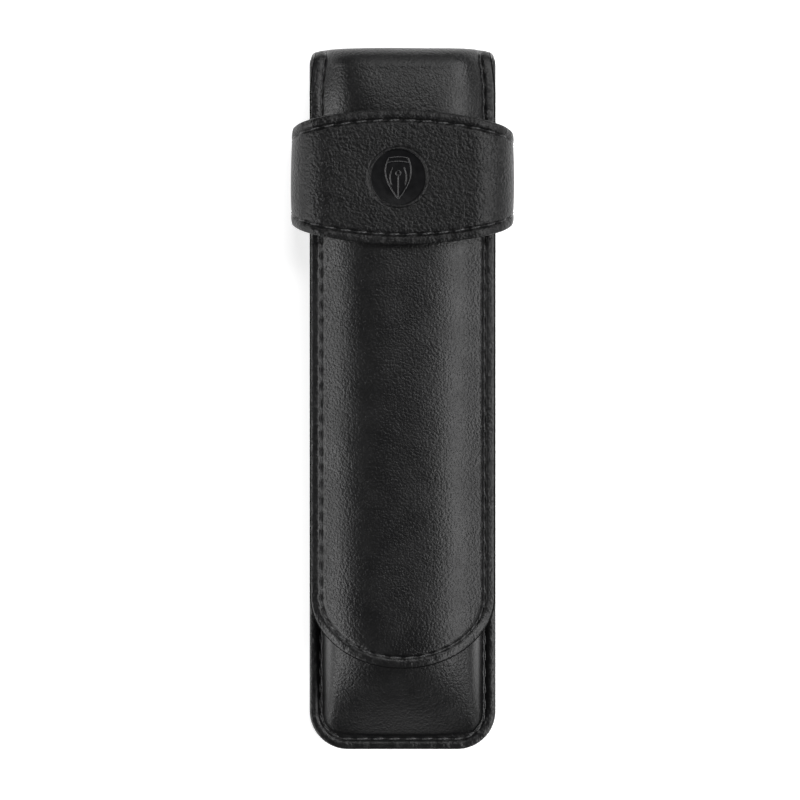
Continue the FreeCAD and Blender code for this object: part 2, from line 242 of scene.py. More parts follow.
def rows_in_plan(edge, inward, left, insets, end_y, closing):
    """Grid in plan, one row for each point of the left edge, on to the middle line and mirrored.

    Rows start square to the edge.  The last ones close up towards end_y, round the rounded end.
    """
    band = 4.2 * MM
    middle_y = edge[:, 1].copy()
    last = left < closing
    first_closing = np.interp(closing, left[::-1], edge[::-1, 1])
    middle_y[last] = end_y + (first_closing - end_y) * left[last] / closing
    middle = np.column_stack([np.zeros(len(edge)), middle_y])
    turned = edge + inward * band
    width = insets[-1]
    half = []
    for d in insets:
        if d <= band:
            half.append(edge + inward * d)
        else:
            half.append(turned + (middle - turned) * (d - band) / (width - band))
    half = np.stack(half, axis=1)
    half[:, -1, 0] = 0.0
    mirrored = half[:, -2::-1] * np.array([-1, 1])
    return np.concatenate([half, mirrored], axis=1)


def both_sides(insets):
    return np.concatenate([insets, insets[-2::-1]])


def sheet_normals(grid, closed=False):
    """Unit normals of a grid of points whose rows run down and whose columns run across."""
    down = np.roll(grid, -1, 0) - np.roll(grid, 1, 0) if closed else np.gradient(grid, axis=0)
    n = np.cross(down, np.gradient(grid, axis=1))
    return n / np.maximum(np.linalg.norm(n, axis=2), 1e-12)[:, :, None]


def even_normals(n, tip):
    """The same normals made alike on both sides of the middle; at a tip both sides are one line."""
    n = n + n[:, ::-1] * np.array([-1, 1, 1])
    if tip:
        n[-1, :, 0] = 0.0
    return n / np.maximum(np.linalg.norm(n, axis=2), 1e-12)[:, :, None]


def mesh_piece(name, points, faces, materials, kinds=()):
    """Object of a welded, smooth mesh with its normals turned outward.

    kinds gives the number of the material of each face, as far as it goes; the rest have the first.
    """
    mesh = bpy.data.meshes.new(name)
    mesh.from_pydata(np.asarray(points).reshape(-1, 3).tolist(), [], faces)
    for m in materials:
        mesh.materials.append(m)
    for face, kind in zip(mesh.polygons, kinds):
        face.material_index = kind
    work = bmesh.new()
    work.from_mesh(mesh)
    bmesh.ops.remove_doubles(work, verts=work.verts, dist=0.002 * MM)
    bmesh.ops.dissolve_degenerate(work, edges=work.edges, dist=0.001 * MM)
    bmesh.ops.recalc_face_normals(work, faces=work.faces)
    if work.calc_volume(signed=True) < 0:
        bmesh.ops.reverse_faces(work, faces=work.faces)
    work.to_mesh(mesh)
    work.free()
    mesh.shade_smooth()
    mesh.set_sharp_from_angle(angle=math.radians(60))
    made = bpy.data.objects.new(name, mesh)
    bpy.context.scene.collection.objects.link(made)
    return made


def rolled_sheet(name, grid, normals, thickness, out_first, out_last, materials, closed=False):
    """Closed sheet of leather under a grid of points on its face, with both long edges rounded.

    A second material, if there is one, covers the rounded edges.
    """
    thick = np.broadcast_to(thickness, grid.shape[:2])[:, :, None]
    under = grid - normals * thick
    roll = np.radians([60, 30, 0, -30, -60])
    edges = []
    for column, out in ((0, out_first), (-1, out_last)):
        centre = (grid[:, column] + under[:, column]) / 2
        up = normals[:, column] * thick[:, column] / 2
        out = out * thick[:, column] / 2
        edges.append([centre + up * math.sin(a) + out * math.cos(a) for a in roll])
    first = np.stack(edges[0][::-1], axis=1)
    last = np.stack(edges[1], axis=1)
    loop = np.concatenate([first, grid, last, under[:, ::-1]], axis=1)
    rows, columns = loop.shape[:2]
    last_roll = len(roll) + grid.shape[1]
    rolled = set(range(len(roll) - 1)) | set(range(last_roll, last_roll + len(roll) - 1))
    faces, kinds = [], []
    for r in range(rows if closed else rows - 1):
        here, below = r * columns, (r + 1) % rows * columns
        for c in range(columns):
            side = (c + 1) % columns
            faces.append((here + c, here + side, below + side, below + c))
            kinds.append(1 if c in rolled and len(materials) > 1 else 0)
    ends = [] if closed else [0]
    if not closed and np.abs(loop[-1, :, 0]).max() > 0.1 * MM:
        ends.append((rows - 1) * columns)
    for end in ends:
        low = end + columns - 1
        for c in range(len(roll), last_roll - 1):
            under_c = low - (c - len(roll))
            faces.append((end + c, end + c + 1, under_c - 1, under_c))
        faces.append((low, *range(end, end + len(roll) + 1)))
        faces.append(tuple(range(end + last_roll - 1, end + last_roll + len(roll) + 1)))
    return mesh_piece(name, loop, faces, materials, kinds)


def waver(x, y):
    """Slight unevenness of hand-worked leather."""
    return (
        0.05 * MM * np.sin(x * 210 + y * 95 + 1.3)
        + 0.04 * MM * np.sin(y * 260 - x * 120 + 0.4)
        + 0.015 * MM * np.sin(x * 420 + y * 510)
    )


def seam_relief(inset, left, seam_inset, depth, puff):
    """How the rim swells outside a seam and dips along it, deepest where the thread goes in."""
    hole = np.cos(2 * np.pi * left / stitch_pitch)[:, None]
    rim = np.clip(inset / seam_inset, 0, 1)[None, :]
    dip = np.exp(-(((inset - seam_inset) / (0.42 * MM)) ** 2))[None, :]
    pull = np.sin(2 * np.pi * left / (1.9 * MM) + 1.9 * np.sin(left * 560))[:, None]
    rolled = np.sin(np.pi * rim) * (puff * (1 - 0.2 * hole) + 0.035 * MM * pull)
    return rolled - depth * dip * (1 + 0.35 * hole)


def front_shape(x, y, inset):
    """Height of the moulded front over its flat edge: a full dome that falls away to the bottom."""
    across, along = half_width - front_foot, 24.0 * MM
    u = np.clip(np.abs(x) / across, 0, 1)
    v = np.clip(1 - (y - bottom - front_foot - 1.0 * MM * u**3) / along, 0, 1)
    side = 1 - np.clip((1 - u) * across / (3 * MM), 0, 1)
    foot = 1 - np.clip((inset - front_foot) / (1.3 * MM), 0, 1)
    dome = (1 - 0.45 * u**2.6) * (1 - v**1.6) * np.sqrt(1 - side**2) * np.sqrt(1 - foot**2)
    return (front_high.z - front_low.z - hide) * dome


press_depth, press_start, press_length = 1.4 * MM, 61 * MM, 15 * MM


def mouth_drop(y):
    """How far the leather is pressed down towards the fold."""
    return press_depth * np.clip((y - press_start) / press_length, 0, 1.2) ** 2


hide = 1.0 * MM
front_foot = 2.95 * MM
seam_inset = 2.45 * MM
corner = 8.8 * MM
bottom_centre = bottom + 12.0 * MM
bottom_turn = 40 * MM
front_edge = np.concatenate([
    [(-half_width, front_high.y), (-half_width, bottom + corner)],
    quarter_turn(-half_width + corner, bottom + corner, corner, corner, 180),
    [(0, bottom)],
])
edge, inward, left = walk(front_edge, step)
inward[-1] = (0, 1)
edge_insets = np.array([0.5, 0.8, 1.15, 1.5, 1.8, 2.05, 2.3, 2.45, 2.6, 2.8]) * MM
shoulder_insets = front_foot + 12.6 * MM * (1 - np.cos(np.radians(np.linspace(4, 90, 22))))
front_insets = np.concatenate([edge_insets, [front_foot], shoulder_insets, [18.3 * MM, half_width]])
plan = rows_in_plan(edge, inward, left, front_insets, bottom_centre, bottom_turn)
rise = front_shape(plan[:, :, 0], plan[:, :, 1], both_sides(front_insets))
rise *= 1 - mouth_drop(plan[:, :, 1]) / rise.max()
height = front_low.z + hide + rise
height += seam_relief(both_sides(front_insets), left, seam_inset, 0.3 * MM, 0.35 * MM)
height += waver(plan[:, :, 0], plan[:, :, 1]) * np.clip((height - front_low.z) / (8 * MM), 0, 1)
front_grid = np.dstack([plan, height])
front_out = np.column_stack([-inward, np.zeros(len(edge))])
mirror_x = np.array([-1, 1, 1])
front_leather = rolled_sheet(
    "front_leather", front_grid, even_normals(sheet_normals(front_grid), True), hide,
    front_out, front_out * mirror_x, [case_leather],
)
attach(front_leather, "pouch")
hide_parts("front_panel")


# ------------------------------------------------------------------ seam round the pouch
# Black polyester thread, lock-stitched.  Each stitch lies in the dip of the seam a little askew,
# and both of its ends go down into the leather.
def thread_material(name):
    """Twisted thread: fine slanting ridges and a slight sheen."""
    made = bpy.data.materials.new(name)
    made.use_nodes = True
    tree = made.node_tree
    shader = tree.nodes["Principled BSDF"]
    shader.inputs["Roughness"].default_value = 0.42
    shader.inputs["Sheen Weight"].default_value = 0.15
    place = tree.nodes.new("ShaderNodeTexCoord")
    ply = tree.nodes.new("ShaderNodeTexWave")
    ply.inputs["Scale"].default_value = 900.0
    ply.inputs["Distortion"].default_value = 1.5
    ply.bands_direction = "DIAGONAL"
    tree.links.new(place.outputs["Object"], ply.inputs["Vector"])
    tone = tree.nodes.new("ShaderNodeValToRGB")
    tone.color_ramp.elements[0].color = (0.003, 0.003, 0.0032, 1)
    tone.color_ramp.elements[1].color = (0.014, 0.014, 0.015, 1)
    tree.links.new(ply.outputs["Fac"], tone.inputs["Fac"])
    tree.links.new(tone.outputs["Color"], shader.inputs["Base Color"])
    bump = tree.nodes.new("ShaderNodeBump")
    bump.inputs["Distance"].default_value = 0.05 * MM
    tree.links.new(ply.outputs["Fac"], bump.inputs["Height"])
    tree.links.new(bump.outputs["Normal"], shader.inputs["Normal"])
    return made


sewing_thread = thread_material("sewing_thread")
thread_radius = 0.18 * MM


def stitch_row(name, points, normals, along, pitch=stitch_pitch, lift=0.08 * MM):
    """Mesh of every stitch of a seam, laid along a line of points on the leather."""
    order = np.argsort(along)
    along, points, normals = along[order], points[order], normals[order]

    def on_seam(table, s):
        return np.array([np.interp(s, along, table[:, k]) for k in range(3)])

    sides, rings = 8, np.linspace(-1, 1, 9)
    verts, faces = [], []
    first = math.ceil(along[0] / pitch - 0.001)
    last = math.floor(along[-1] / pitch + 0.001)
    for i in range(first, last):
        centre = (i + 0.5) * pitch
        base = len(verts)
        ahead = on_seam(points, centre + 0.2 * pitch) - on_seam(points, centre - 0.2 * pitch)
        ahead /= np.linalg.norm(ahead)
        slant = (0.14 + 0.05 * math.sin(i * 2.4)) * MM
        for t in rings:
            s = centre + t * 0.44 * pitch
            up = on_seam(normals, s)
            up /= np.linalg.norm(up)
            side = np.cross(up, ahead)
            sink = lift - (0.5 * MM) * abs(t) ** 3.5
            middle = on_seam(points, s) + up * sink + side * slant * t
            radius = thread_radius * (1 - 0.35 * t**4)
            for k in range(sides):
                a = 2 * math.pi * k / sides
                verts.append(middle + radius * (math.cos(a) * side * 1.1 + math.sin(a) * up * 0.9))
        for r in range(len(rings) - 1):
            for k in range(sides):
                a, b = base + r * sides + k, base + r * sides + (k + 1) % sides
                faces.append((a, b, b + sides, a + sides))
        faces.append(tuple(base + k for k in range(sides))[::-1])
        faces.append(tuple(base + (len(rings) - 1) * sides + k for k in range(sides)))
    return mesh_piece(name, verts, faces, [sewing_thread])


def mirrored_line(points, normals, left):
    """A line down the left side and up the right, measured from the middle of the end."""
    return (
        np.concatenate([points, points[-2::-1] * mirror_x]),
        np.concatenate([normals, normals[-2::-1] * mirror_x]),
        np.concatenate([-left, left[-2::-1]]),
    )


def column_at(insets, inset):
    return int(np.argmin(np.abs(insets - inset)))


front_seam_column = column_at(front_insets, seam_inset)
front_up = np.tile([0.0, 0.0, 1.0], (len(edge), 1))
below_mouth = edge[:, 1] < front_high.y - 2 * MM
pouch_stitches = stitch_row(
    "pouch_stitches",
    *mirrored_line(
        front_grid[below_mouth, front_seam_column], front_up[below_mouth], left[below_mouth]
    ),
)
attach(pouch_stitches, "pouch")
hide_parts("case_seam_thread")


# ------------------------------------------------------------------ flap
# The long flap lies over the front panel, passes under the loop and ends in a rounded tongue.
# Its nappa is turned in at the edge and sewn all round, so that it rolls outside the stitches; in
# the middle it is bent over the two pens.  This piece runs from under the loop to the tip.
tongue_low, tongue_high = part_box("tongue_leather")
flap_half = tongue_high.x
flap_tip = tongue_low.y
flap_rim_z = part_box("tongue_board")[0].z + hide
flap_thickness = 1.8 * MM
flap_seam_inset = 2.7 * MM
flap_seam_depth, flap_rim_puff = 0.45 * MM, 0.14 * MM
tip_droop, droop_start, droop_length = 1.2 * MM, -46 * MM, 15.4 * MM
loop_low, loop_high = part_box("loop_strap")
loop_middle = (loop_low.y + loop_high.y) / 2
tip_depth = 16.5 * MM
flap_insets = np.concatenate([
    np.array([0.9, 1.2, 1.5, 1.8, 2.1, 2.35, 2.55, 2.7, 2.85, 3.05, 3.3, 3.6, 3.9, 4.2]) * MM,
    np.linspace(5.2 * MM, flap_half, 14),
])


flap_bend = 2.9


def flap_height(x, bend=flap_bend):
    """Outer face of the flap across its width: bent over the pens, level at its rims."""
    fall = (np.abs(x) / (flap_half - flap_seam_inset - 0.2 * MM)) ** bend
    return flap_rim_z + (tongue_high.z - flap_rim_z) * (1 - fall / (1 + fall**6) ** (1 / 6))


flap_edge = np.concatenate([
    [(-flap_half, loop_middle)],
    quarter_turn(0, flap_tip + tip_depth, flap_half, tip_depth, 180),
])
edge, inward, left = walk(flap_edge, step)
inward[-1] = (0, 1)
plan = rows_in_plan(edge, inward, left, flap_insets, flap_tip + 10.5 * MM, 46 * MM)
height = flap_height(plan[:, :, 0])
height -= tip_droop * np.clip((droop_start - plan[:, :, 1]) / droop_length, 0, 1) ** 2
height += seam_relief(both_sides(flap_insets), left, flap_seam_inset, flap_seam_depth, flap_rim_puff)
height += waver(plan[:, :, 0], plan[:, :, 1])
flap_grid = np.dstack([plan, height])
flap_normals = even_normals(sheet_normals(flap_grid), True)
flap_out = np.column_stack([-inward, np.zeros(len(edge))])

# The very edge of the flap is dyed and burnished: dull black.
# This dull black is also painted shade: it stands in for the dark line of shadow under the flap's rolled
# edge.
edge_dye_painted_shade = leather("edge_dye_painted_shade", (0.0015, 0.0015, 0.0016), 0.4 * MM, 0.03 * MM, 0.8)
edge_dye_painted_shade.node_tree.nodes["Principled BSDF"].inputs["Specular IOR Level"].default_value = 0.05
flap_leather = rolled_sheet(
    "flap_leather", flap_grid, flap_normals, flap_thickness,
    flap_out, flap_out * mirror_x, [case_leather, edge_dye_painted_shade],
)
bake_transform(flap_leather)
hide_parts("tongue_leather", "tongue_board")

flap_seam_column = column_at(flap_insets, flap_seam_inset)
flap_stitches = stitch_row(
    "flap_stitches",
    *mirrored_line(flap_grid[:, flap_seam_column], np.tile([0.0, 0.0, 1.0], (len(edge), 1)), left),
)
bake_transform(flap_stitches)
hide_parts("tongue_thread")

# The flap is lined with thin smooth leather, cut a little smaller and glued over the turned edge.
lining_leather = leather("lining_leather", (0.006, 0.0058, 0.0056), 0.35 * MM, 0.03 * MM, 0.55)
lining_thickness = 0.35 * MM
glued_in = 0.03 * MM
lining_first = column_at(flap_insets, 2.1 * MM)
lining_columns = slice(lining_first, len(both_sides(flap_insets)) - lining_first)
under_flap = flap_thickness - glued_in
lining_face = flap_grid[:, lining_columns] - flap_normals[:, lining_columns] * under_flap
lining_rows = np.array([r for r in range(len(edge)) if r % 4 == 0 or r == len(edge) - 1])
flap_lining = rolled_sheet(
    "flap_lining", lining_face[lining_rows], flap_normals[:, lining_columns][lining_rows],
    lining_thickness, flap_out[lining_rows], (flap_out * mirror_x)[lining_rows], [lining_leather],
)
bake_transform(flap_lining)
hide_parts("tongue_lining")

# ------------------------------------------------------------------ fold over the mouth
# Above the loop the same leather goes on over the top end: it turns down at the front fold and
# crosses the mouth as a spine.  Over the pens the fold stands a little further out than its rims.
# This piece runs from under the loop to half way down the spine.
spine_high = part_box("spine_leather")[1]
spine_middle_z = 9.0 * MM
fold_bend = 5.6


def fold_end(x):
    """How far out the spine stands: furthest over the pens."""
    return spine_high.y - 0.2 * MM - 1.0 * MM * np.clip(np.abs(x) / flap_half, 0, 1) ** 8


def drawn_in(way):
    """Share of its width that the leather keeps where it is drawn in round the fold."""
    t = np.clip(way, 0, 1)
    return 1 - 0.055 * t * t * (3 - 2 * t)


x_flat = np.concatenate([-flap_half + flap_insets, (flap_half - flap_insets)[-2::-1]])
straight_rows, turn_rows, spine_rows = 62, 14, 12
fold_radius = 5.0 * MM - 1.8 * MM * np.clip(np.abs(x_flat) / flap_half, 0, 1) ** 3
turn_start = fold_end(x_flat) - fold_radius
face_z = flap_height(x_flat, fold_bend)
fold_grid = np.zeros((straight_rows + turn_rows + spine_rows, len(x_flat), 3))
for r in range(len(fold_grid)):
    if r < straight_rows:
        way = r / straight_rows
        y = loop_middle + (turn_start - loop_middle) * way
        z = flap_height(x_flat, flap_bend + (fold_bend - flap_bend) * way**2) - mouth_drop(y)
    elif r < straight_rows + turn_rows:
        a = math.pi / 2 * (r - straight_rows) / turn_rows
        y = fold_end(x_flat) - fold_radius * (1 - math.sin(a))
        z = face_z - mouth_drop(turn_start) - fold_radius * (1 - math.cos(a))
    else:
        way = (r - straight_rows - turn_rows) / (spine_rows - 1)
        top = face_z - mouth_drop(turn_start) - fold_radius
        y = fold_end(x_flat)
        z = top + (spine_middle_z - top) * way
    keep = drawn_in((r - straight_rows * 0.75) / (straight_rows * 0.25 + turn_rows))
    fold_grid[r] = np.column_stack([x_flat * keep, y, z])
fold_way = np.linalg.norm(np.diff(fold_grid[:, 8], axis=0), axis=1)
fold_left = left[0] + np.concatenate([[0], np.cumsum(fold_way)])
fold_lift = seam_relief(both_sides(flap_insets), fold_left, flap_seam_inset, flap_seam_depth, flap_rim_puff)
fold_lift += waver(fold_grid[:, :, 0], fold_grid[:, :, 1])
fold_lift *= np.clip((fold_grid[:, :, 2] - spine_middle_z) / (3 * MM), 0, 1)
fold_grid += even_normals(-sheet_normals(fold_grid), False) * fold_lift[:, :, None]
fold_normals = even_normals(-sheet_normals(fold_grid), False)
fold_out = np.tile([-1.0, 0.0, 0.0], (len(fold_grid), 1))
# Its rounded edges get the same dull black, also painted shade for the shadow line under the fold's edge.
fold_leather = rolled_sheet(
    "fold_leather", fold_grid, fold_normals, flap_thickness,
    fold_out, -fold_out, [case_leather, edge_dye_painted_shade],
)
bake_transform(fold_leather)
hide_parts("neck_leather", "neck_board", "spine_board")

for side, column in (("left", flap_seam_column), ("right", -1 - flap_seam_column)):
    fold_stitches = stitch_row(
        f"fold_stitches_{side}", fold_grid[:, column], fold_normals[:, column], fold_left
    )
    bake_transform(fold_stitches)
    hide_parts("neck_thread")

lining_face = fold_grid[:, lining_columns] - fold_normals[:, lining_columns] * under_flap
fold_lining = rolled_sheet(
    "fold_lining", lining_face, fold_normals[:, lining_columns], lining_thickness,
    fold_out, -fold_out, [lining_leather],
)
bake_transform(fold_lining)
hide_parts("neck_lining")

# ------------------------------------------------------------------ back
# The back is one piece with the flap.  It turns out of the spine at the rear fold and lies flat on
# the table, with its edges turned in over a board and sewn to the front all round.  A shallow
# channel is pressed across it where the loop is let in.
channel_half = 10.7 * MM
rear_radius = 3.2 * MM
back_turn_y = spine_high.y - 0.6 * MM - rear_radius
turn_length = rear_radius * math.pi / 2
pattern_top = back_turn_y + turn_length + spine_middle_z - rear_radius
back_thickness = 2.0 * MM
back_insets = np.concatenate([
    np.array([1.0, 1.3, 1.6, 1.9, 2.15, 2.35, 2.5, 2.7, 2.95, 3.3, 3.8, 4.2]) * MM,
    np.linspace(6 * MM, half_width, 10),
])
back_edge = np.concatenate([
    [(-half_width, pattern_top), (-half_width, bottom + corner)],
    quarter_turn(-half_width + corner, bottom + corner, corner, corner, 180),
    [(0, bottom)],
])
edge, inward, left = walk(back_edge, step)
inward[-1] = (0, 1)
plan = rows_in_plan(edge, inward, left, back_insets, bottom_centre, bottom_turn)
x, w = plan[:, :, 0], plan[:, :, 1]
angle = np.clip((w - back_turn_y) / rear_radius, 0, math.pi / 2)
up_spine = np.clip(w - back_turn_y - turn_length, 0, None)
way_up = np.clip((w - back_turn_y) / (pattern_top - back_turn_y), 0, 1)
y = np.minimum(w, back_turn_y) + rear_radius * np.sin(angle)
y += (fold_end(x) - (back_turn_y + rear_radius)) * way_up
z = rear_radius * (1 - np.cos(angle)) + up_spine
channel = np.clip((channel_half - np.abs(w - loop_middle)) / (0.9 * MM) + 0.5, 0, 1)
channel = channel * channel * (3 - 2 * channel)
back_grid = np.dstack([x * drawn_in(way_up * 1.1), y, z + 1.03 * MM * channel])
back_lift = seam_relief(both_sides(back_insets), left, seam_inset, 0.25 * MM, 0.0)
back_lift *= (1 - channel) * (1 - way_up**3)
back_grid += even_normals(-sheet_normals(back_grid), True) * back_lift[:, :, None]
back_normals = even_normals(-sheet_normals(back_grid), True)
back_out = np.column_stack([-inward, np.zeros(len(edge))])
thickness = back_thickness - 1.0 * MM * channel - 0.2 * MM * way_up
back_leather = rolled_sheet(
    "back_leather", back_grid, back_normals, thickness,
    back_out, back_out * mirror_x, [case_leather],
)
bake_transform(back_leather)
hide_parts("back_panel", "back_boards", "spine_leather")

# Inside the spine the same lining leather goes down behind the mouth to the pocket floor.
spine_rows_in = np.flatnonzero(edge[:, 1] > back_turn_y + 0.3 * MM)
inner_first = column_at(back_insets, 1.9 * MM)
inner = slice(inner_first, len(both_sides(back_insets)) - inner_first)
under = thickness[:, :, None] - glued_in
spine_face = (back_grid - back_normals * under)[spine_rows_in][:, inner]
spine_lining = rolled_sheet(
    "spine_inside", spine_face, back_normals[spine_rows_in][:, inner], lining_thickness,
    back_out[spine_rows_in], (back_out * mirror_x)[spine_rows_in], [lining_leather],
)
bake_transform(spine_lining)
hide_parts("spine_lining")

back_seam_column = column_at(back_insets, seam_inset)
clear_of_loop = np.abs(edge[:, 1] - loop_middle) > channel_half + 1 * MM
for name, shown in (
    ("back_stitches", clear_of_loop & (edge[:, 1] < loop_middle)),
    ("back_stitches_top", clear_of_loop & (edge[:, 1] > loop_middle)),
):
    points, normals = back_grid[shown, back_seam_column], back_normals[shown, back_seam_column]
    if shown[-1]:
        rows = [stitch_row(name, *mirrored_line(points, normals, left[shown]), lift=0)]
    else:
        rows = [
            stitch_row(name + "_left", points, normals, left[shown], lift=0),
            stitch_row(name + "_right", points * mirror_x, normals * mirror_x, left[shown], lift=0),
        ]
    for row in rows:
        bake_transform(row)

# ------------------------------------------------------------------ linings of the pouch
# The pockets are lined with thin smooth leather: a flat sheet on the back that is caught in the
# seam, and a moulded one glued inside the front.
floor_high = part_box("back_lining")[1]
floor_edge = np.concatenate([[(-half_width, floor_high.y - 1.5 * MM)], front_edge[1:]])
edge, inward, left = walk(floor_edge, 3 * step)
inward[-1] = (0, 1)
floor_insets = np.concatenate([np.array([0.45, 1.2, 2.4, 4.2]) * MM, np.linspace(6 * MM, half_width, 8)])
plan = rows_in_plan(edge, inward, left, floor_insets, bottom_centre, bottom_turn)
floor_grid = np.dstack([plan, np.full(plan.shape[:2], floor_high.z)])
floor_out = np.column_stack([-inward, np.zeros(len(edge))])
pocket_floor = rolled_sheet(
    "pocket_floor", floor_grid, even_normals(sheet_normals(floor_grid), True), 0.55 * MM,
    floor_out, floor_out * mirror_x, [lining_leather],
)
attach(pocket_floor, "pouch")
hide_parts("back_lining")

mouth_column = column_at(front_insets, 3.3 * MM)
wall_columns = slice(mouth_column, len(both_sides(front_insets)) - mouth_column)
wall_rows = np.arange(0, len(front_grid), 3)
front_normals = even_normals(sheet_normals(front_grid), True)
wall_face = (front_grid - front_normals * 0.97 * hide)[wall_rows][:, wall_columns]
wall_normals = front_normals[wall_rows][:, wall_columns]
wall_out = np.tile([0.0, 0.0, -1.0], (len(wall_rows), 1))
pocket_wall = rolled_sheet(
    "pocket_wall", wall_face, wall_normals, 0.5 * MM, wall_out, wall_out, [lining_leather]
)
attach(pocket_wall, "pouch")
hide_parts("front_lining")

# ------------------------------------------------------------------ facing of the mouth
# A strip of the same thin leather is folded over the cut edge of the front, from the outside, over
# the end and down inside, and sewn through.
facing_reach = 3.2 * MM
facing_stand = 0.12 * MM
mouth_line = front_grid[0, mouth_column:len(front_grid[0]) - mouth_column]
mouth_up = front_normals[0, mouth_column:len(front_grid[0]) - mouth_column]
mouth_depth = hide + 0.5 * MM + 2 * facing_stand
facing_path = [(-facing_reach, facing_stand)]
for a in np.radians(np.linspace(90, -90, 9)):
    facing_path.append((
        0.35 * MM * math.cos(a), facing_stand - mouth_depth / 2 * (1 - math.sin(a)),
    ))
facing_path.append((-facing_reach, facing_stand - mouth_depth))
facing_grid = np.stack([mouth_line + (0, reach, 0) + mouth_up * lift for reach, lift in facing_path])
mouth_facing = rolled_sheet(
    "mouth_band", facing_grid, -sheet_normals(facing_grid), 0.1 * MM,
    np.tile([0.0, 0.0, -1.0], (len(facing_grid), 1)),
    np.tile([0.0, 0.0, -1.0], (len(facing_grid), 1)), [lining_leather],
)
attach(mouth_facing, "pouch")
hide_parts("mouth_facing")

mouth_along = np.concatenate([[0], np.cumsum(np.linalg.norm(np.diff(mouth_line, axis=0), axis=1))])
mouth_stitches = stitch_row(
    "mouth_stitches", mouth_line + mouth_up * facing_stand - (0, 1.9 * MM, 0), mouth_up,
    mouth_along - mouth_along[-1] / 2,
)
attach(mouth_stitches, "pouch")

# ------------------------------------------------------------------ pen divider
# A strip of lining leather, folded double so that it stands up as a leaf between the two pens.
# Its two feet are spread on the pocket floor and sewn down with one line of stitches each.
leaf_low, leaf_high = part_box("pen_divider")
leaf_half = 0.5 * MM
foot_bend = 0.9 * MM
foot_seam = 2.4 * MM
foot_top = leaf_low.z + 0.5 * MM
leaf_path = [(leaf_low.x + 0.3 * MM, foot_top), (-foot_seam, foot_top), (-leaf_half - foot_bend, foot_top)]
for a in np.radians(np.linspace(-90, 0, 6)):
    leaf_path.append((-leaf_half - foot_bend * (1 - math.cos(a)), foot_top + foot_bend * (1 + math.sin(a))))
for z in np.linspace(foot_top + 2 * MM, leaf_high.z - leaf_half, 8):
    leaf_path.append((-leaf_half, z))
for a in np.radians(np.linspace(165, 90, 6)):
    leaf_path.append((leaf_half * math.cos(a), leaf_high.z - leaf_half + leaf_half * math.sin(a)))
leaf_path += [(-x, z) for x, z in leaf_path[-2::-1]]
leaf_ys = np.linspace(leaf_high.y, leaf_low.y, 40)
leaf_room = front_shape(np.zeros(40), leaf_ys, np.full(40, half_width)) / rise.max()
leaf_grid = np.array([
    [(x + 0.25 * MM * math.sin(y * 60) * (z - foot_top) / leaf_high.z, y,
      foot_top + (z - foot_top) * (room if z > foot_top + 1 * MM else 1)) for x, z in leaf_path]
    for y, room in zip(leaf_ys, leaf_room)
])
pen_divider = rolled_sheet(
    "divider_leaf", leaf_grid, sheet_normals(leaf_grid), 0.42 * MM,
    np.tile([-1.0, 0.0, 0.0], (len(leaf_ys), 1)), np.tile([1.0, 0.0, 0.0], (len(leaf_ys), 1)),
    [lining_leather],
)
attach(pen_divider, "pouch")
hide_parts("pen_divider")
for name, x in (("divider_stitches_left", -foot_seam), ("divider_stitches_right", foot_seam)):
    seam_y = np.linspace(leaf_high.y - 2 * MM, leaf_low.y + 2 * MM, 200)
    seam_line = np.column_stack([np.full(200, x), seam_y, np.full(200, foot_top)])
    row = stitch_row(name, seam_line, np.tile([0.0, 0.0, 1.0], (200, 1)), seam_y)
    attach(row, "pouch")
    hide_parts("divider_thread")

# ------------------------------------------------------------------ loop
# A wide strap of coarser grained nappa is sewn into a ring round the pouch, and the flap is tucked
# through it.  Both long edges are turned in and stitched; they curve, so that the strap is longest
# over the middle of the front and narrower down its sides and across the back.
loop_top = loop_high.z - 0.2 * MM
loop_half = loop_high.x
loop_length = 30.9 * MM
loop_edge_radius = 90.0 * MM
front_corner = 9.0 * MM
rear_corner = 3.8 * MM
unseen_back = 26 * MM
loop_seam_inset = 2.5 * MM
strap_thickness = 1.3 * MM
loop_leather = leather("loop_leather", (0.003, 0.003, 0.0032), 0.68 * MM, 0.14 * MM, 0.38)
loop_leather.node_tree.nodes["Principled BSDF"].inputs["Specular IOR Level"].default_value = 0.26

flat = loop_half - front_corner
ring_half = np.concatenate([
    [(0, loop_top), (flat, loop_top)],
    quarter_turn(flat, loop_top - front_corner, front_corner, front_corner, 0)[::-1],
    quarter_turn(loop_half - rear_corner, rear_corner, rear_corner, rear_corner, 270)[::-1],
    [(0, 0)],
])
half_ring, _, half_left = walk(ring_half, step)
around = half_left[0] - half_left
ring = np.concatenate([half_ring, half_ring[-2:0:-1] * np.array([-1, 1])])
around = np.concatenate([around, -around[-2:0:-1]])
way = np.roll(ring, -1, 0) - np.roll(ring, 1, 0)
way /= np.linalg.norm(way, axis=1)[:, None]
ring_out = np.column_stack([-way[:, 1], np.zeros(len(ring)), way[:, 0]])
narrow = loop_length / 2 - 10.35 * MM
strap_half = loop_length / 2 - np.minimum(around**2 / (2 * loop_edge_radius), narrow)
strap_insets = np.array([0.65, 0.9, 1.2, 1.5, 1.8, 2.05, 2.25, 2.4, 2.5, 2.6, 2.75, 2.95, 3.2, 3.6]) * MM
inner_share = np.linspace(0, 1, 27)[1:]
columns = []
for d in strap_insets:
    columns.append(strap_half - d)
for share in inner_share:
    columns.append((strap_half - strap_insets[-1]) * (1 - share))
upper = np.stack(columns, axis=1)
askew = 0.5 * MM * np.clip(-ring[:, 0] / loop_half, -1, 1)
across = np.concatenate([upper + askew[:, None] * upper / strap_half[:, None], -upper[:, -2::-1]], axis=1)
on_front = np.clip((ring[:, 1] - 3 * MM) / (5 * MM), 0, 1)
inset_table = np.concatenate([strap_insets, np.full(len(inner_share), 9 * MM)])
strap_lift = seam_relief(both_sides(inset_table), around, loop_seam_inset, 0.42 * MM, 0.3 * MM)
centre_puff = 0.35 * MM * (1 - (across / strap_half[:, None]) ** 2)
down_side = np.clip((ring[:, 1] - 8 * MM) / (12 * MM), 0.35, 1)
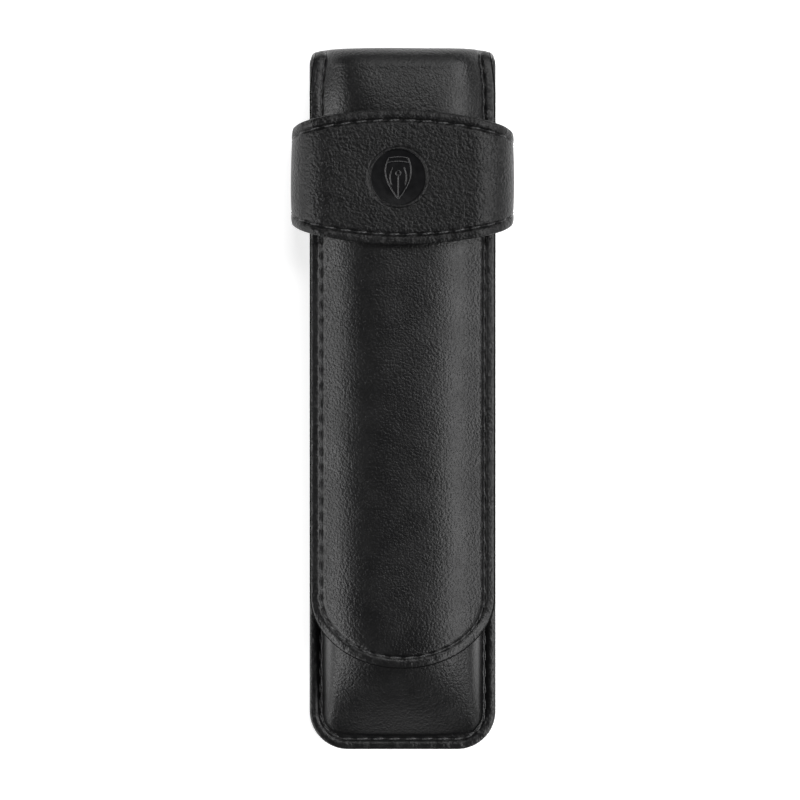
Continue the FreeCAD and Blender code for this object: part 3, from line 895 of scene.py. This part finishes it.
strap_lift = (strap_lift * down_side[:, None] + centre_puff) * on_front[:, None]
strap_lift += waver(ring[:, 0][:, None] * 0.8, across * 0.7) * on_front[:, None]

emblem_low, emblem_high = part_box("loop_emblem")
emblem_x = (emblem_low.x + emblem_high.x) / 2
emblem_radius = emblem_high.x - emblem_x + 0.1 * MM
off_emblem = np.hypot(ring[:, 0][:, None] - emblem_x, across)
off_emblem[ring[:, 1] < 0.9 * loop_top] = 1.0
dished = np.clip((off_emblem - emblem_radius) / (0.7 * MM), 0, 1)
strap_lift -= 0.75 * MM * (1 - dished * dished * (3 - 2 * dished))
pressed_in = np.exp(-((off_emblem / (10.5 * MM)) ** 4))
strap_lift -= 0.12 * MM * pressed_in

strap_face = np.dstack([
    np.broadcast_to(ring[:, 0][:, None], across.shape),
    loop_middle + across,
    np.broadcast_to(ring[:, 1][:, None], across.shape),
]) + ring_out[:, None, :] * strap_lift[:, :, None]
strap_face[:, :, 2] = np.maximum(strap_face[:, :, 2], 0.0)
strap_normals = -sheet_normals(strap_face, True)
y_out = np.tile([0.0, 1.0, 0.0], (len(ring), 1))
loop_strap = rolled_sheet(
    "loop_band", strap_face, strap_normals, strap_thickness - 0.35 * MM * (1 - on_front[:, None]),
    y_out, -y_out, [loop_leather], closed=True,
)
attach(loop_strap, "pouch")
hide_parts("loop_strap")

shown = np.abs(around) < np.abs(around).max() - unseen_back
seam_column = column_at(inset_table, loop_seam_inset)
for name, column, node in (
    ("loop_upper_stitches", seam_column, "loop_upper_thread"),
    ("loop_lower_stitches", -1 - seam_column, "loop_lower_thread"),
):
    row = stitch_row(
        name, strap_face[shown, column], ring_out[shown], around[shown], lift=0.03 * MM
    )
    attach(row, "pouch")
    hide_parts(node)

lined = np.argsort(around)[np.abs(np.sort(around)) < np.abs(around).max() - unseen_back]
lining_part = slice(seam_column - 4, len(both_sides(inset_table)) - seam_column + 4)
loop_lining = rolled_sheet(
    "loop_inside",
    (strap_face - strap_normals * (strap_thickness - glued_in))[lined][::3][:, lining_part],
    strap_normals[lined][::3][:, lining_part], 0.3 * MM,
    y_out[lined][::3], -y_out[lined][::3], [lining_leather],
)
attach(loop_lining, "pouch")
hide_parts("loop_lining")

# The strap is sewn down into its channel in the back by a rectangle of stitches.
box_x, box_y = 7.75 * MM, 7.15 * MM
sewn_z = 0.34 * MM
for name, x0, y0, x1, y1 in (
    ("loop_back_stitches_top", -box_x, box_y, box_x, box_y),
    ("loop_back_stitches_bottom", -box_x, -box_y, box_x, -box_y),
    ("loop_back_stitches_left", -box_x, -box_y, -box_x, box_y),
    ("loop_back_stitches_right", box_x, -box_y, box_x, box_y),
):
    t = np.linspace(0, 1, 60)[:, None]
    line = np.array([x0, loop_middle + y0, sewn_z]) * (1 - t) + np.array([x1, loop_middle + y1, sewn_z]) * t
    along = t[:, 0] * math.hypot(x1 - x0, y1 - y0)
    row = stitch_row(name, line, np.tile([0.0, 0.0, -1.0], (60, 1)), along, lift=0.05 * MM)
    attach(row, "pouch")
    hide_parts("loop_back_thread")

# ------------------------------------------------------------------ emblem
# A round mark hot-pressed into the front of the loop: a sunk disc of smooth, burnished leather
# with a plain pen nib raised on it in thin lines, and the grain pushed up in a rim round it.
def pressed_leather(name):
    """Leather flattened and darkened by a hot die: nearly smooth, glossy, faintly clouded."""
    made = bpy.data.materials.new(name)
    made.use_nodes = True
    tree = made.node_tree
    shader = tree.nodes["Principled BSDF"]
    place = tree.nodes.new("ShaderNodeTexCoord")
    cloud = tree.nodes.new("ShaderNodeTexNoise")
    cloud.inputs["Scale"].default_value = 700.0
    cloud.inputs["Detail"].default_value = 3.0
    tree.links.new(place.outputs["Object"], cloud.inputs["Vector"])
    tone = tree.nodes.new("ShaderNodeValToRGB")
    tone.color_ramp.elements[0].color = (0.0012, 0.0012, 0.0014, 1)
    tone.color_ramp.elements[1].color = (0.004, 0.004, 0.0045, 1)
    tree.links.new(cloud.outputs["Fac"], tone.inputs["Fac"])
    tree.links.new(tone.outputs["Color"], shader.inputs["Base Color"])
    gloss = tree.nodes.new("ShaderNodeMapRange")
    gloss.inputs["To Min"].default_value = 0.16
    gloss.inputs["To Max"].default_value = 0.24
    tree.links.new(cloud.outputs["Fac"], gloss.inputs["Value"])
    tree.links.new(gloss.outputs["Result"], shader.inputs["Roughness"])
    bump = tree.nodes.new("ShaderNodeBump")
    bump.inputs["Distance"].default_value = 0.02 * MM
    tree.links.new(cloud.outputs["Fac"], bump.inputs["Height"])
    tree.links.new(bump.outputs["Normal"], shader.inputs["Normal"])
    return made


burnished = pressed_leather("pressed_leather")
face_z = loop_top + 0.3 * MM
profile = [
    (emblem_radius + 0.95 * MM, -0.30 * MM), (emblem_radius + 0.75 * MM, -0.06 * MM),
    (emblem_radius + 0.6 * MM, 0.06 * MM), (emblem_radius + 0.42 * MM, 0.15 * MM),
    (emblem_radius + 0.26 * MM, 0.16 * MM), (emblem_radius + 0.12 * MM, 0.08 * MM),
    (emblem_radius + 0.03 * MM, -0.1 * MM), (emblem_radius - 0.04 * MM, -0.35 * MM),
    (emblem_radius - 0.1 * MM, -0.52 * MM), (emblem_radius - 0.35 * MM, -0.6 * MM),
    (emblem_radius * 0.75, -0.6 * MM), (emblem_radius * 0.5, -0.58 * MM),
    (emblem_radius * 0.25, -0.57 * MM),
]
segments = 144
turn = np.linspace(0, 2 * np.pi, segments, endpoint=False)
verts, faces = [], []
for radius, lift in profile:
    wobble = 1 + 0.004 * np.sin(3 * turn + 1) if radius > emblem_radius else 1
    verts += np.column_stack([
        emblem_x + radius * np.cos(turn) * wobble, loop_middle + radius * np.sin(turn) * wobble,
        np.full(segments, face_z + lift),
    ]).tolist()
for ring_at in range(len(profile) - 1):
    for k in range(segments):
        a, b = ring_at * segments + k, ring_at * segments + (k + 1) % segments
        faces.append((a, b, b + segments, a + segments))
verts.append((emblem_x, loop_middle, face_z - 0.56 * MM))
verts.append((emblem_x, loop_middle, face_z - 0.95 * MM))
inner = (len(profile) - 1) * segments
for k in range(segments):
    faces.append((inner + k, inner + (k + 1) % segments, len(verts) - 2))
    faces.append(((k + 1) % segments, k, len(verts) - 1))
loop_emblem = mesh_piece("emblem_disc", verts, faces, [loop_leather, burnished])
for face in loop_emblem.data.polygons:
    reach = math.hypot(face.center.x - emblem_x, face.center.y - loop_middle)
    face.material_index = 1 if reach < emblem_radius + 0.02 * MM else 0
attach(loop_emblem, "pouch")
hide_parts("loop_emblem")


def raised_lines(name, lines, radius):
    """Thin rounded ridges along lines drawn on the disc."""
    verts, faces = [], []
    for path in lines:
        path = np.asarray(path, float) * MM
        way = np.gradient(path, axis=0)
        way /= np.linalg.norm(way, axis=1)[:, None]
        base = len(verts)
        for (px, py), (wx, wy) in zip(path, way):
            for k in range(8):
                a = 2 * math.pi * k / 8
                verts.append((
                    emblem_x + px - wy * radius * math.cos(a),
                    loop_middle + py + wx * radius * math.cos(a),
                    face_z - 0.55 * MM + radius * 0.9 * math.sin(a),
                ))
        for r in range(len(path) - 1):
            for k in range(8):
                a, b = base + r * 8 + k, base + r * 8 + (k + 1) % 8
                faces.append((a, b, b + 8, a + 8))
        faces.append(tuple(base + k for k in range(8))[::-1])
        faces.append(tuple(base + (len(path) - 1) * 8 + k for k in range(8)))
    return mesh_piece(name, verts, faces, [burnished])


t = np.linspace(0, 1, 30)
nib_side = np.column_stack([
    3.0 * np.sin(np.pi * (0.26 + 0.74 * t)) ** 0.9 * (1 - 0.1 * t), 4.3 - 9.2 * t,
])
circle = np.linspace(0, 2 * np.pi, 24)
nib_lines = [nib_side, nib_side * (-1, 1)]
for top, half in ((4.3, 2.2), (3.3, 2.55)):
    across_nib = np.linspace(-half, half, 14)
    nib_lines.append(np.column_stack([across_nib, top + 0.25 * np.cos(across_nib * 0.7)]))
nib_lines.append(np.column_stack([0.55 * np.cos(circle), 0.9 + 0.55 * np.sin(circle)]))
nib_lines.append(np.column_stack([np.zeros(14), np.linspace(0.35, -4.6, 14)]))
for way in (-1, 1):
    nib_lines.append(np.column_stack([
        way * (1.1 + 0.75 * np.sin(np.linspace(0.3, 2.6, 16))), np.linspace(2.2, -1.8, 16),
    ]))
nib_mark = raised_lines("nib_mark", nib_lines, 0.2 * MM)
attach(nib_mark, "pouch")
